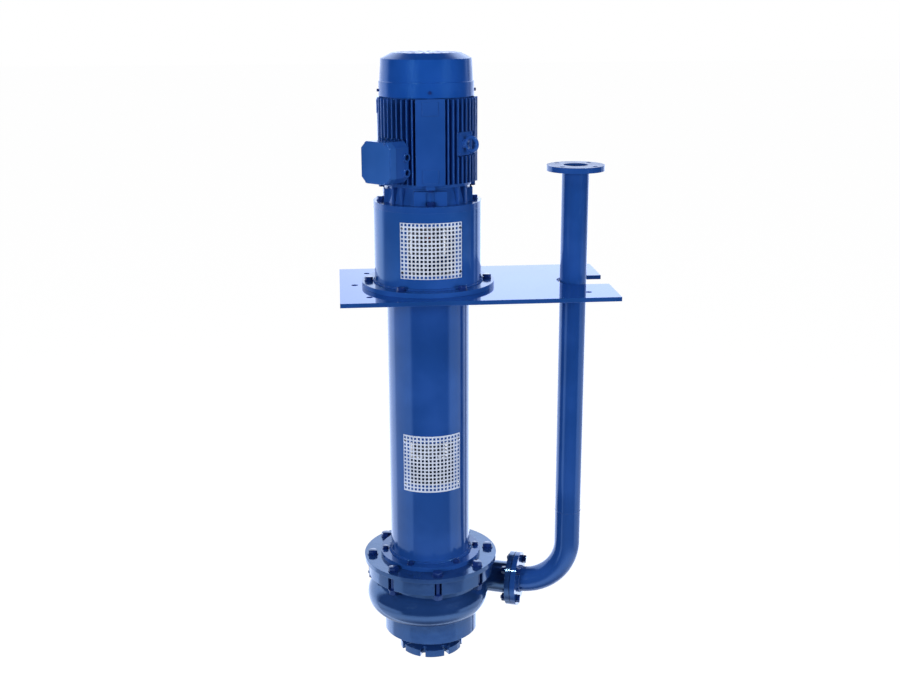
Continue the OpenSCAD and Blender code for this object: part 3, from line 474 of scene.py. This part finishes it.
def thread(radius, low, high, pitch):
    """Threaded rod end with a chamfered tip at its low end."""
    z = low + pitch * 0.8
    profile = [(radius - pitch, low), (radius - 0.1, z)]
    while z < high - pitch:
        profile += [(radius - 0.6 * pitch, z + pitch / 2), (radius, z + pitch)]
        z += pitch
    return turned(profile + [(radius, high)], ROD_STEPS)


# %% Meshes and whole bolts
SHARP_ANGLE = math.radians(32)
WASHER_THICK = 3
THREAD_PITCH = 2.0


def mesh_from(made, name):
    """The bmesh as a mesh, shaded smooth except at its sharp edges."""
    mesh = bpy.data.meshes.new(name)
    made.to_mesh(mesh)
    made.free()
    mesh.shade_smooth()
    mesh.set_sharp_from_angle(angle=SHARP_ANGLE)
    return mesh


def mesh_of(name, parts):
    """One mesh from (points, faces) parts, faces outward."""
    made = bmesh.new()
    for points, faces in parts:
        corners = [made.verts.new(p) for p in points]
        for face in faces:
            made.faces.new([corners[i] for i in face])
    bmesh.ops.recalc_face_normals(made, faces=made.faces[:])
    return mesh_from(made, name)


def bolt_parts(size, across, shank, grip=None):
    """Hexagon bolt with its washer on z = 0. Where grip is given, a nut closes the joint below."""
    core = size / 2 - 0.1
    head_low = WASHER_THICK + 0.5
    parts = [washer(size * 0.94, 0, WASHER_THICK),
             turned([(across * 0.47, WASHER_THICK), (across * 0.47, head_low)]),
             hexagon_solid(across, head_low, WASHER_THICK + size * 0.64)]
    if grip is None:
        screw = [(core - 0.2, -shank), (core, 1 - shank), (core, WASHER_THICK)]
        return parts + [turned(screw, ROD_STEPS)]
    nut_high = -grip - WASHER_THICK
    nut_low = nut_high - size * 0.8
    return parts + [turned([(core, nut_low + 1), (core, WASHER_THICK)], ROD_STEPS),
                    washer(size * 0.94, nut_high, -grip),
                    hexagon_solid(across, nut_low, nut_high, both=True),
                    thread(core, -shank, nut_low + 1.5, THREAD_PITCH)]


print("a bolt head has", len(hexagon_solid(24, 0, 10)[1]), "faces")

# %% [markdown]
# ## Repeating a bolt round its circle
# A flange has four, six or eight equal bolts, so one is enough: a Geometry Nodes tree stands it
# on the points of a circle. Each copy gets a random turn from a fixed seed, because nobody lines
# up the flats. The tree ends as plain faces with their finish on, and the result is taken off
# the modifier as a mesh of its own.


# %% Trees and pieces
def new_tree(name, inputs):
    """Geometry tree with named inputs, as (net, wires of the inputs)."""
    tree = bpy.data.node_groups.new(name, "GeometryNodeTree")
    net = Net(tree)
    for label, kind in inputs:
        tree.interface.new_socket(label, in_out="INPUT", socket_type="NodeSocket" + kind)
    tree.interface.new_socket("Geometry", in_out="OUTPUT", socket_type="NodeSocketGeometry")
    entry = tree.nodes.new("NodeGroupInput")
    return net, {label: Wire(net, entry.outputs[label]) for label, kind in inputs}


def grown(tree, name, settings, place):
    """Run the tree with these inputs and give its plain mesh, moved to its place."""
    carrier = bpy.data.objects.new(name, bpy.data.meshes.new(name))
    bpy.context.scene.collection.objects.link(carrier)
    modifier = carrier.modifiers.new("tree", "NODES")
    modifier.node_group = tree
    for item in tree.interface.items_tree:
        if item.in_out == "INPUT" and item.name in settings:
            modifier[item.identifier] = settings[item.name]
    graph = bpy.context.evaluated_depsgraph_get()
    mesh = bpy.data.meshes.new_from_object(carrier.evaluated_get(graph), depsgraph=graph)
    bpy.data.objects.remove(carrier)
    mesh.transform(place)
    mesh.name = name
    return mesh


def piece(name, mesh, body, material_slot, *replaced, finish=None):
    """A finished piece at the origin that rides on a body."""
    made = bpy.data.objects.new(name, mesh)
    bpy.context.scene.collection.objects.link(made)
    mesh.materials.clear()
    mesh.materials.append(FINISHES[finish or material_slot])
    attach(made, body)
    if replaced:
        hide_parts(*replaced)
    return made


def at(x, y, z, turn=0.0, tilt=0.0):
    """Place in millimetres, turned about Z, then tilted about the new Y, both in degrees."""
    return (Matrix.Translation((x * MM, y * MM, z * MM))
            @ Matrix.Rotation(math.radians(turn), 4, "Z")
            @ Matrix.Rotation(math.radians(tilt), 4, "Y"))


# %% The tree of a tool ring
def about_z(net, angle):
    """A rotation about the upright axis."""
    turn = net.node("ShaderNodeCombineXYZ", {}, {"Z": angle})
    return net.node("FunctionNodeEulerToRotation", {}, {"Euler": turn})


net, given = new_tree("tool_ring", (
    ("Count", "Int"), ("Circle radius", "Float"), ("First angle", "Float"), ("Random turn", "Float"),
    ("Seed", "Int"), ("Tool", "Object"), ("Finish", "Material")))
places = net.node("GeometryNodeMeshCircle", {},
                  {"Vertices": given["Count"], "Radius": given["Circle radius"]})
tool = net.node("GeometryNodeObjectInfo", {}, {"Object": given["Tool"]}, out="Geometry")
play = net.node("FunctionNodeRandomValue", {"data_type": "FLOAT"},
                {2: 0.0, 3: given["Random turn"], 8: given["Seed"]}, out=1)
heading = net.node("GeometryNodeInputIndex") * (2 * math.pi) / given["Count"] + play
stood = net.node("GeometryNodeInstanceOnPoints", {},
                 {"Points": places, "Instance": tool, "Rotation": about_z(net, heading)})
spun = net.node("GeometryNodeTransform", {},
                {"Geometry": stood, "Rotation": about_z(net, given["First angle"])})
solid = net.node("GeometryNodeRealizeInstances", {}, {"Geometry": spun})
painted = net.node("GeometryNodeSetMaterial", {}, {"Geometry": solid, "Material": given["Finish"]})
net.node("NodeGroupOutput", {}, {"Geometry": painted})
tool_ring = net.tree
print("tool ring inputs:", ", ".join(given))

# %% [markdown]
# ## The five bolted joints
# Six bolts hold the stool to the plate and six the column's foot, eight the casing's cover, and
# four each the discharge flange and the motor. The through bolts get a nut below the joint. The
# discharge flange stands upright and faces aside, so its ring is made flat like the others and
# then carried to the nozzle's face.

# %% The bolt rings
NOZZLE_TURN = -20.0
NOZZLE_FACE = (266.76, 165.88, -1098.0)
RANDOM_TURN = 1.0
nozzle = Matrix.Rotation(math.radians(NOZZLE_TURN), 4, "Z") @ at(*NOZZLE_FACE, 0, 90)


def bolt_circle(node, parts, count, radius, first, place, seed):
    """The mesh of a ring of detailed bolts for a node."""
    tool_object = bpy.data.objects.new("tool", mesh_of("tool", parts))
    bpy.context.scene.collection.objects.link(tool_object)
    mesh = grown(tool_ring, node + "_ring", {
        "Count": count, "Circle radius": radius * MM, "First angle": math.radians(first),
        "Random turn": RANDOM_TURN, "Seed": seed, "Tool": tool_object,
        "Finish": FINISHES[slot_of_node[node]]}, place)
    bpy.data.objects.remove(tool_object)
    return mesh


rings = {
    "stool_bolts": (bolt_parts(16, 24, 49, 29), 6, 195, 0, at(0, 0, 29), 3),
    "column_flange_bolts": (bolt_parts(12, 18, 28), 6, 157, 0, at(0, 0, -931), 5),
    "cover_bolts": (bolt_parts(20, 30, 90, 66), 8, 202.5, 2.5, at(0, 0, -946), 8),
    "discharge_bolts": (bolt_parts(16, 24, 58, 38), 4, 75, 45, nozzle @ at(0, 0, 20), 2),
    "motor_flange_bolts": (bolt_parts(16, 24, 36), 4, 150, 0, at(0, 0, 294), 4),
}
for node, row in rings.items():
    mesh = bolt_circle(node, *row)
    piece(node + "_ring", mesh, body_of_node[node], slot_of_node[node], node)
    print(node, len(mesh.polygons), "faces")

# %% [markdown]
# ## Screws of the guards, the lid and the cowl
# The guards and the terminal lid are held by small pan-head screws with a cross recess, the fan
# cowl by four hexagon screws on its sides. A cross recess is cut from the domed head by a
# boolean, done once on the tool, so every copy of it carries the same recess.

# %% Screws
RIM = 0.35
CROWN_ANGLES = (0.35, 0.7, 1.0, 1.3)
RECESS_TAPER = 0.6


def pan_head(radius, height, shank, shank_radius):
    """Pan-head screw with its seat on z = 0 and a cross recess in its crown."""
    outline = [(shank_radius, -shank), (shank_radius, 0), (radius, 0), (radius, height * RIM)]
    outline += [(radius * math.cos(a), height * (RIM + (1 - RIM) * math.sin(a))) for a in CROWN_ANGLES]
    head = bpy.data.objects.new("head", mesh_of("head", [turned(outline)]))
    arm, thick = radius * 0.55 * MM, radius * 0.11 * MM
    top, low = (height + 1) * MM, height * 0.45 * MM
    bars = []
    for wide, deep in ((arm, thick), (thick, arm)):
        corners = [(-wide, -deep), (wide, -deep), (wide, deep), (-wide, deep)]
        tip = [(x * RECESS_TAPER, y * RECESS_TAPER, low) for x, y in corners]
        bars.append(skin([tip, [(x, y, top) for x, y in corners]]))
    cross = bpy.data.objects.new("cross", mesh_of("cross", bars))
    for made in (head, cross):
        bpy.context.scene.collection.objects.link(made)
    cut = head.modifiers.new("recess", "BOOLEAN")
    cut.object, cut.operation, cut.solver, cut.use_self = cross, "DIFFERENCE", "EXACT", True
    graph = bpy.context.evaluated_depsgraph_get()
    mesh = bpy.data.meshes.new_from_object(head.evaluated_get(graph), depsgraph=graph)
    bpy.data.objects.remove(head)
    bpy.data.objects.remove(cross)
    return mesh


guard_screw = pan_head(5.1, 3, 6, 3)
lid_screw = pan_head(3.5, 2.5, 28, 2.2)
cowl_screw = mesh_of("cowl_screw", [washer(5, 0, 1), hexagon_solid(8.6, 1, 6),
                                    turned([(3, -20), (3, 0)], ROD_STEPS)])
print("a pan-head screw has", len(guard_screw.polygons), "faces")

# %% Screws set in their places
GOLDEN_TURN = 2.39996
GUARD_PITCH = 12.8
GUARD_THICK = 1.5
STOOL_RADIUS, STOOL_MIDDLE = 175, 154.4
COLUMN_RADIUS, COLUMN_MIDDLE = 136.5, -573
FRONT, BACK = -90, 90


def scattered(name, mesh, places):
    """Copies of a mesh at given places, joined into one, each turned by its own amount."""
    made = bmesh.new()
    for number, place in enumerate(places):
        start = len(made.verts)
        made.from_mesh(mesh)
        made.verts.ensure_lookup_table()
        spin = Matrix.Rotation(number * GOLDEN_TURN, 4, "Z")
        bmesh.ops.transform(made, matrix=place @ spin, verts=made.verts[start:])
    return mesh_from(made, name)


def guard_places(radius, middle, rows):
    """Four corners of the front guard and four of the rear one, screws pointing outward."""
    spread = math.degrees(7.5 * GUARD_PITCH / radius)
    rise = rows * GUARD_PITCH
    return [at(0, 0, middle + level * rise, face + side * spread, 90) @ at(0, 0, radius + GUARD_THICK)
            for face in (FRONT, BACK) for side in (-1, 1) for level in (-1, 1)]


lid_places = [at(0, 0, 433, -135) @ at(242, y, z, 0, 90) for y in (-40, 40) for z in (-59.5, 59.5)]
cowl_places = [at(0, 0, 642, 90 * quarter, 90) @ at(0, 0, 151.5) for quarter in range(4)]
small = {
    "stool_guard_screws": (guard_screw, guard_places(STOOL_RADIUS, STOOL_MIDDLE, 5.5)),
    "column_guard_screws": (guard_screw, guard_places(COLUMN_RADIUS, COLUMN_MIDDLE, 6)),
    "terminal_lid_screws": (lid_screw, lid_places),
    "cowl_screws": (cowl_screw, cowl_places),
}
for node, (mesh, places) in small.items():
    joined = scattered(node, mesh, places)
    piece(node + "_turned", joined, body_of_node[node], slot_of_node[node], node)
    own = [tuple(round(v, 4) for v in corner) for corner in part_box(node)]
    print(node, "box of the solids", own, "faces", len(joined.polygons))

# %% [markdown]
# ## Weld beads
# The column, the stool and the pipes are welded, and the photograph's foot of the column shows
# the rough bead through the paint. A bead is a rope of overlapping ripples. Geometry Nodes sweep
# a round profile along a circle and push it in and out along its normals, once per ripple. Noise
# shifts and swells the ripples, which keeps them from looking machined.

# %% The tree of a weld bead
RIPPLE_LENGTH = 4.2
POINTS_PER_RIPPLE = 5
PROFILE_POINTS = 9
WANDER_SCALE = 90.0

net, given = new_tree("weld_bead", (
    ("Path radius", "Float"), ("Bead radius", "Float"), ("Ripples", "Int"), ("Seed", "Float"),
    ("Finish", "Material")))
path = net.node("GeometryNodeCurvePrimitiveCircle", {},
                {"Resolution": given["Ripples"] * POINTS_PER_RIPPLE, "Radius": given["Path radius"]})
profile = net.node("GeometryNodeCurvePrimitiveCircle", {},
                   {"Resolution": PROFILE_POINTS, "Radius": given["Bead radius"]})
rope = net.node("GeometryNodeCurveToMesh", {}, {"Curve": path, "Profile Curve": profile})
spot = net.node("GeometryNodeInputPosition")
along_x, along_y, _ = net.axes(spot)
round_angle = along_y.math("ARCTAN2", along_x)
wander = net.node("ShaderNodeTexNoise", {"noise_dimensions": "4D"},
                  {"Vector": spot, "W": given["Seed"], "Scale": WANDER_SCALE})
ripple = (round_angle * given["Ripples"] + wander * 5.0).math("SINE")
swell = (ripple * 0.2 + (wander - 0.5) * 0.9) * given["Bead radius"]
normal = net.node("GeometryNodeInputNormal")
push = net.node("ShaderNodeVectorMath", {"operation": "SCALE"}, {0: normal, "Scale": swell})
rough_rope = net.node("GeometryNodeSetPosition", {}, {"Geometry": rope, "Offset": push})
smooth = net.node("GeometryNodeSetShadeSmooth", {}, {0: rough_rope})
painted = net.node("GeometryNodeSetMaterial", {}, {"Geometry": smooth, "Material": given["Finish"]})
net.node("NodeGroupOutput", {}, {"Geometry": painted})
weld_bead = net.tree
print("weld bead inputs:", ", ".join(given))

# %% Six beads
beads = {
    "stool_foot_weld": (175.5, 5.0, at(0, 0, 29.5)),
    "column_plate_weld": (137, 4.0, at(0, 0, -0.5)),
    "column_foot_weld": (137.5, 6.0, at(0, 0, -930.5)),
    "riser_seam": (43.8, 1.3, at(485, 0, -810)),
    "riser_top_weld": (48.5, 3.0, at(485, 0, 377.5)),
    "elbow_collar_weld": (45.5, 2.6, nozzle @ at(0, 0, 25)),
}
for number, (name, (path_radius, bead, place)) in enumerate(beads.items()):
    mesh = grown(weld_bead, name, {
        "Path radius": path_radius * MM, "Bead radius": bead * MM,
        "Ripples": int(2 * math.pi * path_radius / RIPPLE_LENGTH), "Seed": 3.0 * number,
        "Finish": FINISHES["bead_enamel"]}, place)
    piece(name, mesh, "frame", "blue_enamel", finish="bead_enamel")
    print(name, len(mesh.polygons), "faces")

# %% [markdown]
# ## Plates and castings with softened edges
# Cut plate has its edges ground, and cast iron comes out of sand with rounded ones. A copy of
# the solid's own mesh gets them: doubled points are merged, flat faces joined, and every edge
# sharper than 30 degrees is bevelled. The copy stands in for the solid, size for size. The lid
# of the terminal box is a shade paler than the box and the stool a little less glossy than the
# column, so these two copies take a finish of their own.

# %% Softened copies
SAME_POINT = 2e-6
FLAT_ENOUGH = math.radians(0.6)
BEVEL_ABOVE = math.radians(30)


def softened(node, width, finish):
    """A copy of a solid with bevelled edges, standing in for it."""
    made = bmesh.new()
    made.from_mesh(nodes[node].data)
    bmesh.ops.remove_doubles(made, verts=made.verts, dist=SAME_POINT)
    bmesh.ops.dissolve_limit(made, angle_limit=FLAT_ENOUGH, verts=made.verts, edges=made.edges)
    edges = [e for e in made.edges if len(e.link_faces) == 2 and e.calc_face_angle(0) > BEVEL_ABOVE]
    bmesh.ops.bevel(made, geom=edges, offset=width * MM, segments=2, profile=0.5, affect="EDGES",
                    clamp_overlap=True, loop_slide=True)
    mesh = mesh_from(made, node + "_soft")
    soft = piece(node + "_soft", mesh, body_of_node[node], slot_of_node[node], node, finish=finish)
    weigh = soft.modifiers.new("even shading", "WEIGHTED_NORMAL")
    weigh.keep_sharp, weigh.weight = True, 60
    return soft


to_soften = {
    "mounting_plate": (1.2, None), "terminal_box_lid": (1.5, "lid_enamel"),
    "terminal_box": (1.0, None), "casing_cover": (2.0, None),
    "motor_stool": (1.0, "stool_enamel"), "column": (1.0, None),
}
for node, (width, finish) in to_soften.items():
    soft = softened(node, width, finish)
    print(node, len(soft.data.polygons), "faces")

# %% [markdown]
# ## The room that the gloss mirrors
# The pump is shown on white, lit from large soft sources, as a catalogue shows it. The camera
# sees a white world, but gloss needs something to mirror, so glossy rays read another world by
# their direction: bright walls at the sides and behind, a pale floor, and the dark of the room
# in front and overhead. That contrast draws the pale rims on the pipes and the deep blue down
# their middle.
#
# Four smaller things in that room were placed by what the photograph shows. A dark post stands
# behind on the right and puts a thin dark line on the pipes. A dark panel low behind is what
# the riser flange's top mirrors. A brighter stretch of the back wall shows in the plate's right
# end, and the floor low behind is dimmer. Matt surfaces get plain light from all round, less of
# it from above.

# %% World
HALL_DARK = 0.02
SWEEP_BRIGHT = 1.75
DEGREES = 180 / math.pi
GLOSS_HUE = (0.75, 0.86, 1.15)


def band(angle, start, full, fade, gone):
    """1 from full to fade, and smooth down to 0 at start and at gone."""
    return angle.between(start, full) * (1 - angle.between(fade, gone))


world = bpy.data.worlds.new("hall")
bpy.context.scene.world = world
world.use_nodes = True
sky = Net(world.node_tree)
east, north, up = sky.axes(sky.node("ShaderNodeTexCoord", out="Generated"))
bearing = east.math("ARCTAN2", north * -1.0) * DEGREES
rise = up.math("ARCSINE") * DEGREES
side = bearing.math("ABSOLUTE")

post = band(bearing, 118, 121, 128, 132)
panel = band(bearing, 161, 164, 171, 173) * band(rise, 4, 6, 9, 11)
bright_stretch = band(east, -0.1, 0.15, 0.35, 0.5)
walls = side.between(104, 121) * (1 - rise.between(32, 44)) * (1.2 - rise.between(-25, 5) * 0.2)
walls = walls * (1 - post * 0.85) * (1 - panel * 0.6) * (1 + bright_stretch * 0.35)
floor_beside = side.between(48, 62) * (1 - rise.between(-15, -8)) * (1 - post * 0.5)
floor_beside = floor_beside * (rise.between(-42, -22) * 0.5 + 0.5)
floor_below = (1 - rise.between(-40, -18)) * (rise.between(-75, -48) * 0.8 + 0.2)
dim_floor = side.between(120, 150) * (1 - rise.between(-44, -31))
lit = walls.math("MAXIMUM", floor_beside * 0.6).math("MAXIMUM", floor_below * 0.75)
mirrored = lit * (1 - dim_floor * 0.6) * (SWEEP_BRIGHT - HALL_DARK) + HALL_DARK

seen = sky.node("ShaderNodeLightPath", out="Is Camera Ray")
glossy = sky.node("ShaderNodeLightPath", out="Is Glossy Ray")
through = sky.node("ShaderNodeLightPath", out="Is Transmission Ray")
matt = 0.5 - up.between(-0.2, 0.6) * 0.36
strength = glossy * (mirrored - matt) + matt
strength = (seen + through).math("MINIMUM", 1.0) * (1.0 - strength) + strength
hue = sky.blend(glossy, (1.0, 1.0, 1.0), GLOSS_HUE)
backdrop = sky.node("ShaderNodeBackground", {}, {"Color": hue, "Strength": strength})
sky.node("ShaderNodeOutputWorld", {}, {"Surface": backdrop})
print("world set, dark in front by", HALL_DARK)

# %% [markdown]
# ## Floor and lamps
# A white floor far below closes the picture. It glows for the camera and through glass alone, so
# it throws little light up at the pump, and gloss looks past it. Two broad lamps light the paint
# itself at a plain level, and two small ones put glints on bolt heads and welds.

# %% Floor
FLOOR_LEVEL = -1.95
FLOOR_REACH = 60.0
FLOOR_SEEN = (0.965, 0.965, 0.965)

square = ((-1, -1), (1, -1), (1, 1), (-1, 1))
corners = [(x * FLOOR_REACH, y * FLOOR_REACH, FLOOR_LEVEL) for x, y in square]
floor_mesh = bpy.data.meshes.new("floor")
floor_mesh.from_pydata(corners, [], [(0, 1, 2, 3)])
floor = bpy.data.objects.new("floor", floor_mesh)
bpy.context.scene.collection.objects.link(floor)
floor.visible_glossy = False
floor_paint, net = new_finish("pale_floor")
seen = net.node("ShaderNodeLightPath", out="Is Camera Ray")
through = net.node("ShaderNodeLightPath", out="Is Transmission Ray")
direct = (seen + through).math("MINIMUM", 1.0)
net.surface(Base_Color=(0.16, 0.16, 0.165, 1), Roughness=1.0, Specular_IOR_Level=0.0,
            Emission_Color=net.blend(direct, (0.0, 0.0, 0.0), FLOOR_SEEN), Emission_Strength=1.0)
floor_mesh.materials.append(floor_paint)
print("floor at", FLOOR_LEVEL)


# %% Lamps
def lamp(name, place, target, size, watts, mirrored=False):
    """A round lamp that points at a target. Gloss mirrors it only where that is asked for."""
    data = bpy.data.lights.new(name, "AREA")
    data.shape, data.size, data.energy = "DISK", size, watts
    lamp_object = bpy.data.objects.new(name, data)
    lamp_object.location = place
    lamp_object.rotation_euler = (Vector(target) - Vector(place)).to_track_quat("-Z", "Y").to_euler()
    lamp_object.visible_glossy = mirrored
    bpy.context.scene.collection.objects.link(lamp_object)


lamp("key", (-2.8, -3.6, 0.8), (0, 0, -0.2), 2.0, 130)
lamp("fill", (3.2, -3.2, 0.4), (0, 0, -0.3), 2.2, 96)
lamp("glint_left", (-1.7, -2.6, 3.6), (0, 0, -0.2), 0.2, 30, True)
lamp("glint_right", (2.0, -2.2, 3.4), (0, 0, -0.2), 0.2, 24, True)
